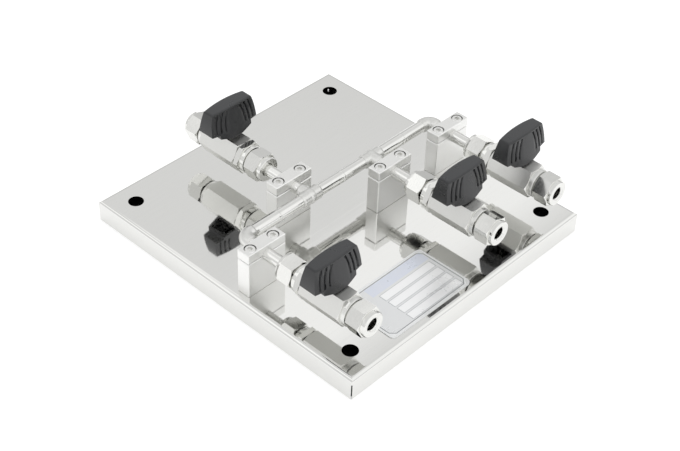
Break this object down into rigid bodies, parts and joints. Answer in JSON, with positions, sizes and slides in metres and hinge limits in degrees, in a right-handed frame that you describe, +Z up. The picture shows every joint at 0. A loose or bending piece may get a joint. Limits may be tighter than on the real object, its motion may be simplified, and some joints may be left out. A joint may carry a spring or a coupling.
{
  "type": "changeover manifold",
  "caption": "Gas changeover manifold: a welded tube header feeding small quarter-turn ball valves with wing handles, clamped to a folded sheet panel with corner holes.",
  "frame": {"origin": "middle of the panel, at the lower edge of its folds", "axes": "+X along the valves towards the side with most ports, +Y along the header tube, +Z up out of the panel"},
  "size_m": [0.18, 0.171, 0.06],
  "materials": {
    "panel_steel": "fine satin sheet, almost a mirror at low angles",
    "tube_steel": "bright drawn tube",
    "fitting_steel": "matt electropolished fittings",
    "valve_steel": "machined stainless bar",
    "clamp_alloy": "fine blasted, with bright edges",
    "screw_steel": "turned stainless screws",
    "handle_nylon": "moulded charcoal nylon with a light grain",
    "seat_polymer": "smooth white fluoropolymer",
    "plate_film": "satin plate with pale printed fields"
  },
  "bodies": {
    "manifold": {"panel": "panel_steel", "data_plate": "plate_film", "header_tubes": "tube_steel", "tees": "fitting_steel", "elbows": "fitting_steel", "branch_tubes": "tube_steel", "cap_screws": "screw_steel", "base_screws": "screw_steel", "left_body": "valve_steel", "left_connector": "valve_steel", "left_nuts": "valve_steel", "left_ferrules": "valve_steel", "left_gland": "valve_steel", "left_seats": "seat_polymer", "left_packing": "seat_polymer", "left_clamp_block": "clamp_alloy", "left_clamp_cap": "clamp_alloy", "front_body": "valve_steel", "front_connector": "valve_steel", "front_nuts": "valve_steel", "front_ferrules": "valve_steel", "front_gland": "valve_steel", "front_seats": "seat_polymer", "front_packing": "seat_polymer", "front_clamp_block": "clamp_alloy", "front_clamp_cap": "clamp_alloy", "middle_body": "valve_steel", "middle_connector": "valve_steel", "middle_nuts": "valve_steel", "middle_ferrules": "valve_steel", "middle_gland": "valve_steel", "middle_seats": "seat_polymer", "middle_packing": "seat_polymer", "middle_clamp_block": "clamp_alloy", "middle_clamp_cap": "clamp_alloy", "back_body": "valve_steel", "back_connector": "valve_steel", "back_nuts": "valve_steel", "back_ferrules": "valve_steel", "back_gland": "valve_steel", "back_seats": "seat_polymer", "back_packing": "seat_polymer", "back_clamp_block": "clamp_alloy", "back_clamp_cap": "clamp_alloy"},
    "left_lever": {"left_handle": "handle_nylon", "left_handle_screw": "screw_steel", "left_stem": "valve_steel", "left_ball": "valve_steel"},
    "front_lever": {"front_handle": "handle_nylon", "front_handle_screw": "screw_steel", "front_stem": "valve_steel", "front_ball": "valve_steel"},
    "middle_lever": {"middle_handle": "handle_nylon", "middle_handle_screw": "screw_steel", "middle_stem": "valve_steel", "middle_ball": "valve_steel"},
    "back_lever": {"back_handle": "handle_nylon", "back_handle_screw": "screw_steel", "back_stem": "valve_steel", "back_ball": "valve_steel"}
  },
  "joints": [
    {"name": "left_turn", "type": "hinge", "parent": "manifold", "child": "left_lever", "pos_m": [-0.058, -0.02315, 0.0329], "axis": [0, 0, 1], "range_deg": [0, 90]},
    {"name": "front_turn", "type": "hinge", "parent": "manifold", "child": "front_lever", "pos_m": [0.059, -0.06845, 0.0329], "axis": [0, 0, 1], "range_deg": [0, 90]},
    {"name": "middle_turn", "type": "hinge", "parent": "manifold", "child": "middle_lever", "pos_m": [0.059, 0.02215, 0.0329], "axis": [0, 0, 1], "range_deg": [0, 90]},
    {"name": "back_turn", "type": "hinge", "parent": "manifold", "child": "back_lever", "pos_m": [0.06, 0.06745, 0.0329], "axis": [0, 0, 1], "range_deg": [0, 90]}
  ]
}
